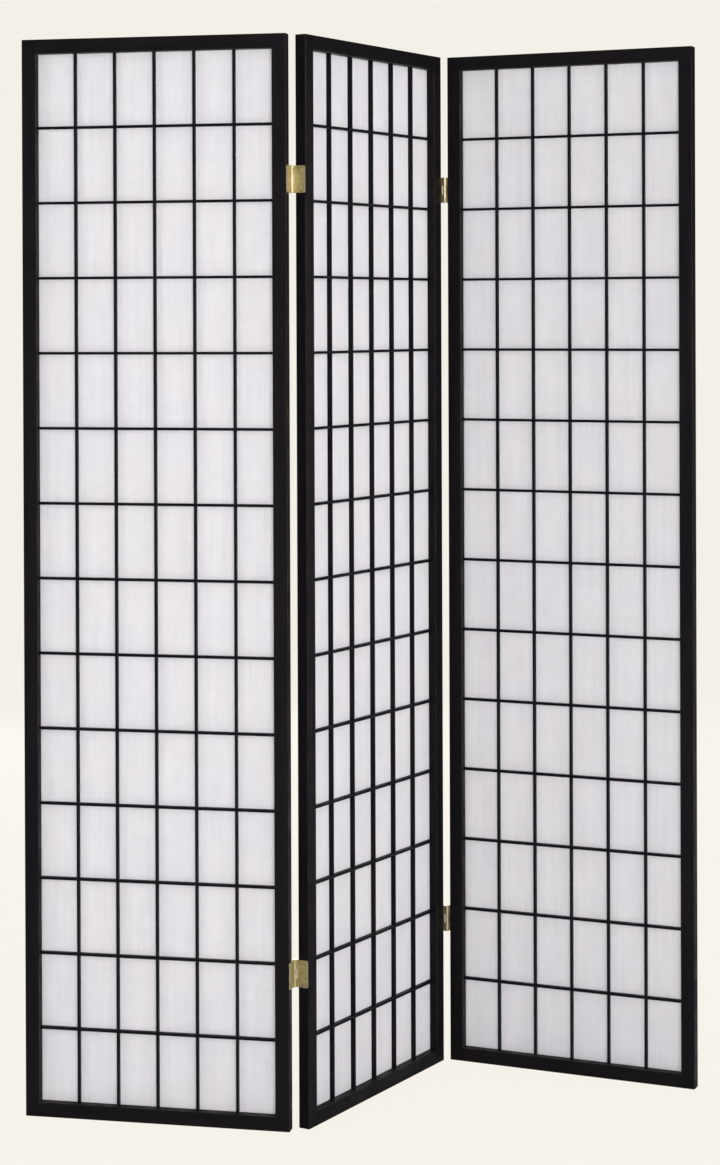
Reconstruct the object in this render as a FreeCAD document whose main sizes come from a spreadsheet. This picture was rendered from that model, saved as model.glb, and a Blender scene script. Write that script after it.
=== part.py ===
"""Three-panel folding screen: timber frames, a bar lattice, paper sheets and brass butt hinges.

Every piece of a panel is drawn in the panel's own frame: X runs from its left edge to its right
edge as seen from the front, Y from its front face to its back face and Z up from the floor. The
three panels then stand in a zigzag, with the screen's footprint centred on the origin.
"""
import FreeCAD, Part
import os
import re
import Sketcher

# Driving dimensions in millimetres, angles in degrees: (word, value, meaning).
SIZES = [
    ("screen_height", 1785, "floor to top of a panel"),
    ("panel_width", 450, "outer width of a panel"),
    ("frame_thickness", 20, "front face to back face of the frame"),
    ("stile_width", 24, "face width of the upright frame members"),
    ("rail_width", 24, "face width of the top and bottom frame members"),
    ("edge_round", 1.2, "rounding of the frame's outer edges"),
    ("arris_round", 0.5, "easing of the front edge round the opening"),
    ("tenon_length", 12, "how far a rail's tenon enters the stile"),
    ("tenon_thickness", 7, "tenon, front to back"),
    ("tenon_width", 11, "tenon, measured up the stile"),
    ("tenon_setback", 6, "front face to tenon"),
    ("tenon_inset", 5, "panel's end to tenon"),
    ("mortise_gap", 0.5, "room left beyond a tenon's end"),
    ("vertical_bars", 5, "upright lattice bars in a panel"),
    ("horizontal_bars", 13, "level lattice bars in a panel"),
    ("vertical_bar_width", 4, "face width of an upright bar"),
    ("horizontal_bar_width", 4.4, "face width of a level bar"),
    ("lattice_setback", 7.5, "front face to the front of the bars"),
    ("lattice_depth", 7.5, "bar, front to back"),
    ("lap_depth", 3.75, "how deep a level bar is notched where it crosses an upright"),
    ("socket_depth", 4, "notch in the frame that takes a bar's end"),
    ("socket_gap", 0.3, "room left beyond a bar's end"),
    ("rebate_width", 6, "step behind the opening that takes the paper's border"),
    ("paper_thickness", 0.4, "backing paper"),
    ("paper_margin", 1, "paper's edge to the wall of the rebate"),
    ("bead_gap", 0.2, "room at each end of a short bead"),
    ("bead_chamfer", 1.5, "bevel along a bead's inner edge"),
    ("lower_hinge_inset", 253, "panel's foot to the middle of a lower hinge"),
    ("upper_hinge_inset", 236, "panel's top to the middle of an upper hinge"),
    ("hinge_height", 44.5, "hinge, measured along its pin"),
    ("knuckles", 3, "knuckles of a hinge, shared by its two leaves"),
    ("knuckle_gap", 0.3, "room between two knuckles"),
    ("leaf_thickness", 1.6, "brass sheet of a leaf"),
    ("leaf_inset", 1, "far face of the frame to a leaf's free edge"),
    ("leaf_corner", 2.5, "rounding of a leaf's free corners"),
    ("pin_diameter", 3.6, "hinge pin"),
    ("pin_clearance", 0.05, "pin to the bore of the leaf that turns on it"),
    ("pin_standout", 0.6, "how far the pin shows beyond the end knuckles"),
    ("pin_end_round", 0.5, "rounding of the pin's ends"),
    ("axis_standoff", 5, "frame's face to the pin's axis"),
    ("screw_length", 14, "screw, head to point"),
    ("screw_point", 4, "tapered stretch at the point"),
    ("screw_shank", 2.8, "shank diameter"),
    ("screw_head", 5.6, "head diameter"),
    ("recess_length", 3.4, "cross recess, from one arm's end to the other's"),
    ("recess_width", 0.8, "arm of the cross recess"),
    ("recess_depth", 0.9, "depth of the cross recess"),
    ("screw_inset", 6, "leaf's free edge to the outer screws"),
    ("screw_stagger", 6, "outer screws to the middle screw, towards the pin"),
    ("screw_margin", 8, "leaf's end to the outer screws"),
    ("screw_clearance", 0.05, "room round a screw in its leaf and in its pilot hole"),
    ("middle_turn", 59.0, "turn of the middle panel from the X axis"),
    ("left_fold", 70.7, "fold of the left hinges from flat"),
    ("right_fold", 82.8, "fold of the right hinges from flat"),
]
WORDS = {word for word, value, meaning in SIZES}

# Places that several pieces share, worked out from the driving dimensions.
PAPER_FACE = "(lattice_setback + lattice_depth)"
REBATE_EDGE = "(stile_width - rebate_width)"
REBATE_END = "(rail_width - rebate_width)"
# COLUMN and ROW are the steps from bar to bar that leave all the cells of a lattice equally open.
COLUMN = "((panel_width - 2 * stile_width + vertical_bar_width) / (vertical_bars + 1))"
ROW = "((screen_height - 2 * rail_width + horizontal_bar_width) / (horizontal_bars + 1))"
TONGUE = "(socket_depth - socket_gap)"
BEAD_DEPTH = f"(frame_thickness - paper_thickness - {PAPER_FACE})"
BEAD_BEVEL = f"min(bead_chamfer; {BEAD_DEPTH} / 2)"
BARREL_RADIUS = "(pin_diameter / 2 + pin_clearance + leaf_thickness)"
LEAF_REACH = "(frame_thickness + axis_standoff - leaf_inset)"
KNUCKLE = "((hinge_height - (knuckles - 1) * knuckle_gap) / knuckles)"
HEAD_TAPER = "((screw_head - screw_shank) / 2)"

# Stretches of a panel as (start, length), front to back, across and up.
THROUGH = ("0", "frame_thickness")
LATTICE_LAYER = ("lattice_setback", "lattice_depth")
TENON_LAYER = ("tenon_setback", "tenon_thickness")
REBATE_LAYER = (PAPER_FACE, f"frame_thickness - {PAPER_FACE}")
BEAD_LAYER = (f"{PAPER_FACE} + paper_thickness", BEAD_DEPTH)
OPENING_ACROSS = ("stile_width", "panel_width - 2 * stile_width")
REBATE_UP = (REBATE_END, f"screen_height - 2 * {REBATE_END}")
FIRST_COLUMN = (f"stile_width + {COLUMN} - vertical_bar_width", "vertical_bar_width")
FIRST_ROW = (f"rail_width + {ROW} - horizontal_bar_width", "horizontal_bar_width")

# The left hinges have their barrels behind the panels, and the right hinges in front of them.
PANELS = ("left", "middle", "right")
HINGED_PANELS = {"left": ("left", "middle"), "right": ("middle", "right")}
BARREL_FACE = {"left": "back", "right": "front"}
HINGE_LEVELS = {"lower": ("bottom", "lower_hinge_inset"), "upper": ("top", "upper_hinge_inset")}

# Each screw of a leaf as (free edge to screw, lower end to screw).
SCREW_PLACES = [
    ("screw_inset", "screw_margin"),
    ("(screw_inset + screw_stagger)", "hinge_height / 2"),
    ("screw_inset", "(hinge_height - screw_margin)"),
]
SCREW_BORE = "screw_shank + 2 * screw_clearance"

# A leaf is drawn for a panel's right edge with the barrel at the back, and turned for the others.
LEAF_TURNS = {
    ("right", "back"): FreeCAD.Rotation(),
    ("left", "back"): FreeCAD.Rotation(FreeCAD.Vector(0, 1, 0), 180),
    ("right", "front"): FreeCAD.Rotation(FreeCAD.Vector(1, 0, 0), 180),
    ("left", "front"): FreeCAD.Rotation(FreeCAD.Vector(0, 0, 1), 180),
}

doc = FreeCAD.newDocument("folding_screen")
sheet = doc.addObject("Spreadsheet::Sheet", "sizes")
pieces = []


# --- Sheet and drawing helpers -------------------------------------------------------------------

def fill_sheet():
    """Write each driving dimension on its own row, with its meaning beside it."""
    for row, (word, value, meaning) in enumerate(SIZES, start=1):
        sheet.set(f"A{row}", meaning)
        sheet.set(f"B{row}", str(value))
        sheet.setAlias(f"B{row}", word)
    doc.recompute()


def size(word):
    """The number that the sheet holds for a word."""
    return float(sheet.get(word))


def bound(formula):
    """A formula with the sheet's words turned into references to its cells."""
    return re.sub(r"[a-z_]+", lambda found: f"sizes.{found[0]}" if found[0] in WORDS else found[0], formula)


def bind(thing, **formulas):
    """Tie properties of an object to formulas of the sheet's words."""
    for name, formula in formulas.items():
        thing.setExpression(name, bound(formula))


def origin_feature(body, role):
    """One of the body's own origin planes or axes."""
    return next(feature for feature in body.Origin.OriginFeatures if feature.Role == role)


def new_body(label):
    """A body that becomes one of the screen's pieces."""
    body = doc.addObject("PartDesign::Body", label)
    body.Label = label
    return body


def new_sketch(body, role, corner):
    """A sketch on an origin plane of the body, moved to a corner given as three formulas."""
    sketch = body.newObject("Sketcher::SketchObject", "Sketch")
    sketch.AttachmentSupport = (origin_feature(body, role), [""])
    sketch.MapMode = "FlatFace"
    for axis, formula in zip("xyz", corner):
        sketch.setExpression(f"AttachmentOffset.Base.{axis}", bound(formula))
    return sketch


def pin_point(sketch, geometry, end, place):
    """Fix a point of the sketch at two formulas from the sketch's origin."""
    for kind, axis, formula in zip(("DistanceX", "DistanceY"), (-2, -1), place):
        if formula == "0":
            sketch.addConstraint(Sketcher.Constraint("PointOnObject", geometry, end, axis))
        else:
            index = sketch.addConstraint(Sketcher.Constraint(kind, -1, 1, geometry, end, 1.0))
            sketch.setExpression(f"Constraints[{index}]", bound(formula))


def draw_outline(sketch, corners):
    """A closed outline of straight lines through corners given as pairs of formulas."""
    count = len(corners)
    rough = [FreeCAD.Vector(index, index * index, 0) for index in range(count)]
    for index in range(count):
        sketch.addGeometry(Part.LineSegment(rough[index], rough[(index + 1) % count]))
    for index in range(count):
        sketch.addConstraint(Sketcher.Constraint("Coincident", index, 2, (index + 1) % count, 1))
        pin_point(sketch, index, 1, corners[index])


def draw_circle(sketch, diameter, centre=("0", "0")):
    """A circle with its diameter and centre given as formulas."""
    index = sketch.addGeometry(Part.Circle(FreeCAD.Vector(1, 1, 0), FreeCAD.Vector(0, 0, 1), 1))
    pin_point(sketch, index, 3, centre)
    constraint = sketch.addConstraint(Sketcher.Constraint("Diameter", index, 2.0))
    sketch.setExpression(f"Constraints[{constraint}]", bound(diameter))


def raise_sketch(body, sketch, height):
    """Add the sketch's outline to the body, raised by a height."""
    pad = body.newObject("PartDesign::Pad", "Pad")
    pad.Profile = sketch
    bind(pad, Length=height)
    return pad


def cut_sketch(body, sketch, depth, along_normal=True):
    """Cut the sketch's outline out of the body, along the plane's normal or against it."""
    pocket = body.newObject("PartDesign::Pocket", "Pocket")
    pocket.Profile = sketch
    pocket.Reversed = along_normal
    bind(pocket, Length=depth)
    return pocket


def block_sketch(body, across, through, up):
    """The plan of a rectangular block whose three stretches are (start, length) formulas."""
    sketch = new_sketch(body, "XY_Plane", (across[0], through[0], up[0]))
    draw_outline(sketch, [("0", "0"), (across[1], "0"), (across[1], through[1]), ("0", through[1])])
    return sketch


def add_block(body, across, through, up):
    """Add a rectangular block to the body."""
    return raise_sketch(body, block_sketch(body, across, through, up), up[1])


def cut_block(body, across, through, up):
    """Cut a rectangular block out of the body."""
    return cut_sketch(body, block_sketch(body, across, through, up), up[1])


def repeat(body, feature, role, count, spacing):
    """Repeat a feature along one of the body's axes."""
    pattern = body.newObject("PartDesign::LinearPattern", "Pattern")
    pattern.Originals = [feature]
    pattern.Direction = (origin_feature(body, role), [""])
    bind(pattern, Occurrences=count, Length=f"({count} - 1) * {spacing}")
    body.Tip = pattern
    return pattern


def edges_on(shape, sides):
    """The names of the shape's edges that lie on all the given sides of its bounding box."""
    places = [(side[0].lower(), getattr(shape.BoundBox, side)) for side in sides]
    names = []
    for number, edge in enumerate(shape.Edges, start=1):
        ends = [end.Point for end in edge.Vertexes]
        if all(abs(getattr(end, axis) - place) < 0.01 for end in ends for axis, place in places):
            names.append(f"Edge{number}")
    return names


def dress_edges(body, kind, places):
    """Add a rounding or a bevel on the body's edges, each place naming the sides that an edge lies on."""
    doc.recompute()
    base = body.Tip
    names = [name for sides in places for name in edges_on(base.Shape, sides)]
    feature = body.newObject(kind, "Dressing")
    feature.Base = (base, names)
    return feature


def round_edges(body, radius, *places):
    """Round the edges at the given places to a radius given as a formula."""
    bind(dress_edges(body, "PartDesign::Fillet", places), Radius=radius)


def bevel_edges(body, width, *places):
    """Bevel the edges at the given places to a width given as a formula."""
    bind(dress_edges(body, "PartDesign::Chamfer", places), Size=width)


def from_side(side, distance, width):
    """A stretch across the panel, measured inwards from its left or right edge."""
    if side == "left":
        return (distance, width)
    return (f"panel_width - ({distance}) - ({width})", width)


def from_end(end, distance, width):
    """A stretch up the panel, measured inwards from its bottom or top end."""
    if end == "bottom":
        return (distance, width)
    return (f"screen_height - ({distance}) - ({width})", width)


def keep(piece, pose):
    """Place a finished piece and note that it is written out under its label."""
    piece.Placement = pose
    pieces.append(piece)


# --- Frame ---------------------------------------------------------------------------------------

def make_stile(panel, side, pose):
    """A full-height upright: mortises, sockets for the level bars, a stopped rebate and pilot holes."""
    body = new_body(f"{panel}_panel_{side}_stile")
    add_block(body, from_side(side, "0", "stile_width"), THROUGH, ("0", "screen_height"))
    outer, inner = ("XMin", "XMax") if side == "left" else ("XMax", "XMin")
    free_ends = [(face, end) for face in (outer, "YMin", "YMax") for end in ("ZMin", "ZMax")]
    round_edges(body, "edge_round", (outer, "YMin"), (outer, "YMax"), *free_ends)
    round_edges(body, "arris_round", (inner, "YMin"))
    cut_block(body, from_side(side, REBATE_EDGE, "rebate_width"), REBATE_LAYER, REBATE_UP)
    mortise = from_side(side, "stile_width - tenon_length - mortise_gap", "tenon_length + mortise_gap")
    for end in ("bottom", "top"):
        cut_block(body, mortise, TENON_LAYER, from_end(end, "tenon_inset", "tenon_width"))
    socket_across = from_side(side, "stile_width - socket_depth", "socket_depth")
    socket = cut_block(body, socket_across, LATTICE_LAYER, FIRST_ROW)
    repeat(body, socket, "Z_Axis", "horizontal_bars", ROW)
    for hinge, panels in HINGED_PANELS.items():
        if panel in panels and side == edge_of(hinge, panel):
            cut_pilot_holes(body, hinge, side)
    keep(body, pose)


def cut_pilot_holes(body, hinge, side):
    """Bore the stile's edge for the screws of its lower and upper hinge leaves."""
    edge = "0" if side == "left" else "panel_width"
    sketch = new_sketch(body, "YZ_Plane", ("0", "0", edge))
    for inset, rise in SCREW_PLACES:
        depth = f"leaf_inset + {inset}"
        if BARREL_FACE[hinge] == "front":
            depth = f"frame_thickness - ({depth})"
        for end, middle in HINGE_LEVELS.values():
            height = from_end(end, f"{middle} - hinge_height / 2 + {rise}", "0")[0]
            draw_circle(sketch, SCREW_BORE, (depth, height))
    cut_sketch(body, sketch, "screw_length", along_normal=side == "left")


def make_rail(panel, end, pose):
    """A top or bottom member: tenoned ends, sockets for the upright bars and a rebate."""
    body = new_body(f"{panel}_panel_{end}_rail")
    add_block(body, OPENING_ACROSS, THROUGH, from_end(end, "0", "rail_width"))
    outer, inner = ("ZMin", "ZMax") if end == "bottom" else ("ZMax", "ZMin")
    round_edges(body, "edge_round", ("YMin", outer), ("YMax", outer))
    round_edges(body, "arris_round", ("YMin", inner))
    cut_block(body, OPENING_ACROSS, REBATE_LAYER, from_end(end, REBATE_END, "rebate_width"))
    socket_up = from_end(end, "rail_width - socket_depth", "socket_depth")
    socket = cut_block(body, FIRST_COLUMN, LATTICE_LAYER, socket_up)
    repeat(body, socket, "X_Axis", "vertical_bars", COLUMN)
    for side in ("left", "right"):
        tenon = from_side(side, "stile_width - tenon_length", "tenon_length")
        add_block(body, tenon, TENON_LAYER, from_end(end, "tenon_inset", "tenon_width"))
    keep(body, pose)


# --- Lattice, paper and beads --------------------------------------------------------------------

def make_vertical_bar(panel, number, pose):
    """An upright bar, notched from behind where the level bars lap into it."""
    body = new_body(f"{panel}_panel_vertical_bar_{number}")
    across = (f"stile_width + {number} * {COLUMN} - vertical_bar_width", "vertical_bar_width")
    up = (f"rail_width - {TONGUE}", f"screen_height - 2 * (rail_width - {TONGUE})")
    add_block(body, across, LATTICE_LAYER, up)
    lap = ("lattice_setback + lap_depth", "lattice_depth - lap_depth")
    notch = cut_block(body, across, lap, FIRST_ROW)
    repeat(body, notch, "Z_Axis", "horizontal_bars", ROW)
    keep(body, pose)


def make_horizontal_bars(panel, pose):
    """The level bars, each a solid of its own, notched from the front where the uprights cross."""
    body = new_body(f"{panel}_panel_horizontal_bars")
    across = (f"stile_width - {TONGUE}", f"panel_width - 2 * (stile_width - {TONGUE})")
    bar = add_block(body, across, LATTICE_LAYER, FIRST_ROW)
    repeat(body, bar, "Z_Axis", "horizontal_bars", ROW)
    lap = ("lattice_setback", "lap_depth")
    notch = cut_block(body, FIRST_COLUMN, lap, ("rail_width", "screen_height - 2 * rail_width"))
    repeat(body, notch, "X_Axis", "vertical_bars", COLUMN)
    keep(body, pose)


def make_paper(panel, pose):
    """One sheet of paper behind the lattice, its border lying in the frame's rebate."""
    body = new_body(f"{panel}_panel_paper")
    across = (f"{REBATE_EDGE} + paper_margin", f"panel_width - 2 * ({REBATE_EDGE} + paper_margin)")
    up = (f"{REBATE_END} + paper_margin", f"screen_height - 2 * ({REBATE_END} + paper_margin)")
    add_block(body, across, (PAPER_FACE, "paper_thickness"), up)
    keep(body, pose)


def make_side_bead(panel, side, pose):
    """A tall bead that holds the paper's side border in the rebate."""
    body = new_body(f"{panel}_panel_{side}_bead")
    add_block(body, from_side(side, REBATE_EDGE, "rebate_width"), BEAD_LAYER, REBATE_UP)
    bevel_edges(body, BEAD_BEVEL, ("XMax" if side == "left" else "XMin", "YMax"))
    keep(body, pose)


def make_end_bead(panel, end, pose):
    """A short bead along the top or bottom rail, fitted between the tall beads."""
    body = new_body(f"{panel}_panel_{end}_bead")
    across = ("stile_width + bead_gap", "panel_width - 2 * (stile_width + bead_gap)")
    add_block(body, across, BEAD_LAYER, from_end(end, REBATE_END, "rebate_width"))
    bevel_edges(body, BEAD_BEVEL, ("ZMax" if end == "bottom" else "ZMin", "YMax"))
    keep(body, pose)


def make_panel(panel, pose):
    """One framed panel with its lattice, paper and beads."""
    for side in ("left", "right"):
        make_stile(panel, side, pose)
    for end in ("bottom", "top"):
        make_rail(panel, end, pose)
    for number in range(1, int(size("vertical_bars")) + 1):
        make_vertical_bar(panel, number, pose)
    make_horizontal_bars(panel, pose)
    make_paper(panel, pose)
    for side in ("left", "right"):
        make_side_bead(panel, side, pose)
    for end in ("bottom", "top"):
        make_end_bead(panel, end, pose)


# --- Hinges --------------------------------------------------------------------------------------
# A hinge's own frame has its pin's axis on Z, half of its height below the origin.

def edge_of(hinge, panel):
    """The edge of a panel that a hinge is screwed to."""
    return "right" if panel == HINGED_PANELS[hinge][0] else "left"


def make_leaf(label, first_knuckle, bore, pose):
    """A leaf: a plate at minus X, reaching towards minus Y, rolled into every second knuckle."""
    body = new_body(label)
    plate = (f"-{BARREL_RADIUS}", "leaf_thickness")
    add_block(body, plate, (f"-{LEAF_REACH}", LEAF_REACH), ("-hinge_height / 2", "hinge_height"))
    round_edges(body, "leaf_corner", ("YMin", "ZMin"), ("YMin", "ZMax"))
    barrel = new_sketch(body, "XY_Plane", ("0", "0", "-hinge_height / 2"))
    draw_circle(barrel, f"2 * {BARREL_RADIUS}")
    raise_sketch(body, barrel, "hinge_height")
    pin_bore = new_sketch(body, "XY_Plane", ("0", "0", "-hinge_height / 2"))
    draw_circle(pin_bore, bore)
    cut_sketch(body, pin_bore, "hinge_height")
    for knuckle in range(1 - first_knuckle, int(size("knuckles")), 2):
        cut_knuckle_slot(body, knuckle)
    sink_screw_holes(body)
    keep(body, pose)


def cut_knuckle_slot(body, knuckle):
    """Clear a leaf round a knuckle that belongs to the other leaf."""
    across = (f"-2 * {BARREL_RADIUS}", f"4 * {BARREL_RADIUS}")
    through = (f"-({BARREL_RADIUS} + knuckle_gap)", f"4 * {BARREL_RADIUS}")
    start = f"-hinge_height / 2 + {knuckle} * ({KNUCKLE} + knuckle_gap) - knuckle_gap"
    cut_block(body, across, through, (start, f"{KNUCKLE} + 2 * knuckle_gap"))


def sink_screw_holes(body):
    """Drill and countersink a leaf from the face that looks at the other leaf."""
    inner_face = f"leaf_thickness - {BARREL_RADIUS}"
    sketch = new_sketch(body, "YZ_Plane", (f"-{LEAF_REACH}", "-hinge_height / 2", inner_face))
    for place in SCREW_PLACES:
        draw_circle(sketch, SCREW_BORE, place)
    doc.recompute()
    hole = body.newObject("PartDesign::Hole", "Hole")
    hole.Profile = sketch
    hole.ThreadType = "None"
    hole.HoleCutType = "Countersink"
    hole.HoleCutCustomValues = True
    hole.HoleCutCountersinkAngle = 90
    hole.DepthType = "ThroughAll"
    bind(hole, Diameter=SCREW_BORE, HoleCutDiameter="screw_head + 2 * screw_clearance")


def make_pin(label, pose):
    """The pin through all the knuckles, its ends rounded."""
    body = new_body(label)
    sketch = new_sketch(body, "XY_Plane", ("0", "0", "-hinge_height / 2 - pin_standout"))
    draw_circle(sketch, "pin_diameter")
    raise_sketch(body, sketch, "hinge_height + 2 * pin_standout")
    round_edges(body, "pin_end_round", ("ZMin",), ("ZMax",))
    keep(body, pose)


def make_screw(inset, rise):
    """A countersunk wood screw with a cross recess, in its place in a leaf."""
    body = new_body("screw")
    sketch = new_sketch(body, "XY_Plane", ("0", "0", "0"))
    draw_outline(sketch, [
        ("0", "0"),
        ("screw_point", "screw_shank / 2"),
        (f"screw_length - {HEAD_TAPER}", "screw_shank / 2"),
        ("screw_length", "screw_head / 2"),
        ("screw_length", "0"),
    ])
    turned = body.newObject("PartDesign::Revolution", "Revolution")
    turned.Profile = sketch
    turned.ReferenceAxis = (origin_feature(body, "X_Axis"), [""])
    turned.Angle = 360
    recess = ("screw_length - recess_depth", "recess_depth")
    long_arm = ("-recess_length / 2", "recess_length")
    short_arm = ("-recess_width / 2", "recess_width")
    cut_block(body, recess, long_arm, short_arm)
    cut_block(body, recess, short_arm, long_arm)
    point = f"leaf_thickness - {BARREL_RADIUS} - screw_length"
    for axis, formula in zip("xyz", (point, f"{inset} - {LEAF_REACH}", f"{rise} - hinge_height / 2")):
        body.setExpression(f"Placement.Base.{axis}", bound(formula))
    return body


def group(label, members, pose):
    """Several solids that share a name and a pose."""
    compound = doc.addObject("Part::Compound", label)
    compound.Label = label
    compound.Links = members
    compound.Placement = pose
    return compound


def make_hinges(poses, pivots):
    """A lower and an upper hinge at each joint, and each panel's screws as one piece."""
    leaf_screws = [make_screw(inset, rise) for inset, rise in SCREW_PLACES]
    screws = {panel: [] for panel in PANELS}
    heights = {
        "lower": size("lower_hinge_inset"),
        "upper": size("screen_height") - size("upper_hinge_inset"),
    }
    for hinge, panel in pivots:
        for level in HINGE_LEVELS:
            name = f"{hinge}_{level}_hinge"
            centre = pivots[hinge, panel] + FreeCAD.Vector(0, 0, heights[level])
            leaf_turn = LEAF_TURNS[edge_of(hinge, panel), BARREL_FACE[hinge]]
            pose = poses[panel] * FreeCAD.Placement(centre, leaf_turn)
            if panel == "middle":
                make_leaf(f"{name}_two_knuckle_leaf", 0, "pin_diameter", pose)
                make_pin(f"{name}_pin", pose)
            else:
                make_leaf(f"{name}_one_knuckle_leaf", 1, "pin_diameter + 2 * pin_clearance", pose)
            screws[panel].append(group(f"{name}_{panel}_screws", leaf_screws, pose))
    for panel in PANELS:
        keep(group(f"{panel}_panel_screws", screws[panel], FreeCAD.Placement()), FreeCAD.Placement())


# --- Standing the panels up ----------------------------------------------------------------------

def mark_pivots():
    """A point on each pair of hinges' axis, at the floor, in the frame of each panel that it joins."""
    marks = {}
    for hinge, panels in HINGED_PANELS.items():
        for panel in panels:
            mark = doc.addObject("Part::Vertex", f"{hinge}_pivot_of_{panel}_panel")
            right_edge = edge_of(hinge, panel) == "right"
            behind = BARREL_FACE[hinge] == "back"
            bind(mark, X=f"panel_width + {BARREL_RADIUS}" if right_edge else f"-{BARREL_RADIUS}",
                 Y="frame_thickness + axis_standoff" if behind else "-axis_standoff")
            marks[hinge, panel] = mark
    doc.recompute()
    return {key: FreeCAD.Vector(mark.X, mark.Y, 0) for key, mark in marks.items()}


def turn(degrees):
    """A turn about the vertical."""
    return FreeCAD.Placement(FreeCAD.Vector(), FreeCAD.Rotation(FreeCAD.Vector(0, 0, 1), degrees))


def stand_panels(pivots):
    """The pose of each panel, hinged to the middle one, with the footprint centred on the origin."""
    poses = {"middle": turn(size("middle_turn"))}
    for side in HINGED_PANELS:
        middle_pivot = FreeCAD.Placement(pivots[side, "middle"], FreeCAD.Rotation())
        own_pivot = FreeCAD.Placement(pivots[side, side], FreeCAD.Rotation())
        poses[side] = poses["middle"] * middle_pivot * turn(-size(f"{side}_fold")) * own_pivot.inverse()
    corners = [
        pose.multVec(FreeCAD.Vector(across, through, 0))
        for pose in poses.values()
        for across in (0, size("panel_width"))
        for through in (0, size("frame_thickness"))
    ]
    footprint = FreeCAD.BoundBox()
    for corner in corners:
        footprint.add(corner)
    shift = FreeCAD.Placement(-footprint.Center, FreeCAD.Rotation())
    return {panel: shift * pose for panel, pose in poses.items()}


def check_document():
    """Stop if any object failed or any piece has no sound solid."""
    for thing in doc.Objects:
        if "Invalid" in thing.State or "Error" in thing.State:
            raise RuntimeError(f"{thing.Label} did not build: {thing.State}")
    for piece in pieces:
        if piece.Shape.isNull() or not piece.Shape.isValid() or not piece.Shape.Solids:
            raise RuntimeError(f"{piece.Label} has no sound solid")


def main():
    """Build the screen and write each piece to its own file."""
    fill_sheet()
    pivots = mark_pivots()
    poses = stand_panels(pivots)
    for panel in PANELS:
        make_panel(panel, poses[panel])
    make_hinges(poses, pivots)
    doc.recompute()
    check_document()
    os.makedirs("parts", exist_ok=True)
    for piece in pieces:
        piece.Shape.exportStep(f"parts/{piece.Label}.step")
    for hinge in HINGED_PANELS:
        axis = poses["middle"].multVec(pivots[hinge, "middle"])
        print(f"{hinge} hinge axis: x {axis.x:.3f} mm, y {axis.y:.3f} mm")
    middle = FreeCAD.Vector(size("panel_width") / 2, size("frame_thickness") / 2, 0)
    for panel in PANELS:
        foot = poses[panel].multVec(middle)
        print(f"{panel} panel's foot: x {foot.x:.3f} mm, y {foot.y:.3f} mm")


main()
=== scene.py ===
"""Three-panel shoji folding screen: lacquered frames and lattices, paper sheets and brass hinges.

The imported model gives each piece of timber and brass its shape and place. This file gives every one
of them its finish, makes the three sheets of paper in full, and sets up the stage. Lengths are in
metres and angles in radians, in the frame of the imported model: X to the right, Y away, Z up.

Much is worked out in a panel's own axes: X along the panel from its left edge to its right edge,
Y from its front to its back and Z up, with the origin at the middle of its paper.
"""
import math

import bpy
import numpy as np
from bpy.props import FloatProperty, FloatVectorProperty, IntProperty, PointerProperty
from bpy.types import NodeSocket, Operator, Panel, PropertyGroup
from mathutils import Matrix, Vector


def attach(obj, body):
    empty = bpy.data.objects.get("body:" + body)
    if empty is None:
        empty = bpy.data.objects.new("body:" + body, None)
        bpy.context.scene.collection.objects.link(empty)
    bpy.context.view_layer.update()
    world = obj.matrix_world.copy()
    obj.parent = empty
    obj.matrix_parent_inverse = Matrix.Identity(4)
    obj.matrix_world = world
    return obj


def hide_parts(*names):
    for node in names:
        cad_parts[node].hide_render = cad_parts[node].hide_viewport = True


bl_info = {
    "name": "Shoji Screen",
    "version": (1, 0, 0),
    "blender": (4, 5, 0),
    "location": "View3D > Sidebar > Shoji",
    "description": "Finishes and paper sheets for a three-panel folding screen",
    "category": "Object",
}

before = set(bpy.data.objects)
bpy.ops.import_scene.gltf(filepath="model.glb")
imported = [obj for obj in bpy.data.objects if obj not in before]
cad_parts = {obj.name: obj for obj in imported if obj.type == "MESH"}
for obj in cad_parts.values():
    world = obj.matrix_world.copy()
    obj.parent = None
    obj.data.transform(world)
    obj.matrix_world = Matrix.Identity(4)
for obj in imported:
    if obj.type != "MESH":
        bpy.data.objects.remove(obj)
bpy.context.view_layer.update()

PANELS = ("left", "middle", "right")
SIDES = ("left", "right")
ENDS = ("top", "bottom")
UPRIGHT_BARS = 5
HINGES = [f"{side}_{height}_hinge" for side in SIDES for height in ("lower", "upper")]
LEAVES = ("one_knuckle_leaf", "two_knuckle_leaf")
MEMBER_GAP = 0.02  # points of one member lie closer together than this, two members further apart

UPRIGHT = Matrix.Identity(4)
LEVEL = Matrix.Rotation(math.radians(90), 4, "Y")  # carries a panel's X axis onto its Z axis

LACQUER_IOR = 1.45
FIBRE_HEIGHT, FIGURE_HEIGHT = 0.6, 0.4  # shares of the fibres and the figure in the grain's relief
FIGURE_WOOD = 0.06  # most of the wood's colour that the figure lets through the lacquer

PAPER_IOR = 1.3
BROAD_SHARE, FINE_SHARE, LEVEL_SHARE, CLOUD_SHARE = 0.44, 0.22, 0.16, 0.18  # of the pulp's pattern
STRAND_SHARE = 0.95  # how fully a strand takes the fibres' colour
THROUGH_SHARE = 0.2  # how much of the pattern shows in the light that passes through
THREAD_HALF_WIDTH = 0.014  # furthest that noise is from its middle value on a thin line
BOW_SHARES = (-0.2, 1.0)  # least and most that a cell bows, as shares of the bow
WAVES_IN_CELL = (1.5, 3.5)  # least and most waves of the ripples in a cell

PATCH_SHARE, MARK_SHARE = 0.6, 0.2  # how fully patches and brush marks take the tarnish
TARNISH_ROUGHNESS = 0.25  # roughness that full tarnish adds
LEAF_SEED, PIN_SEED, SCREW_SEED = 1.0, 2.0, 3.0  # each kind of brass has its own marks

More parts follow.
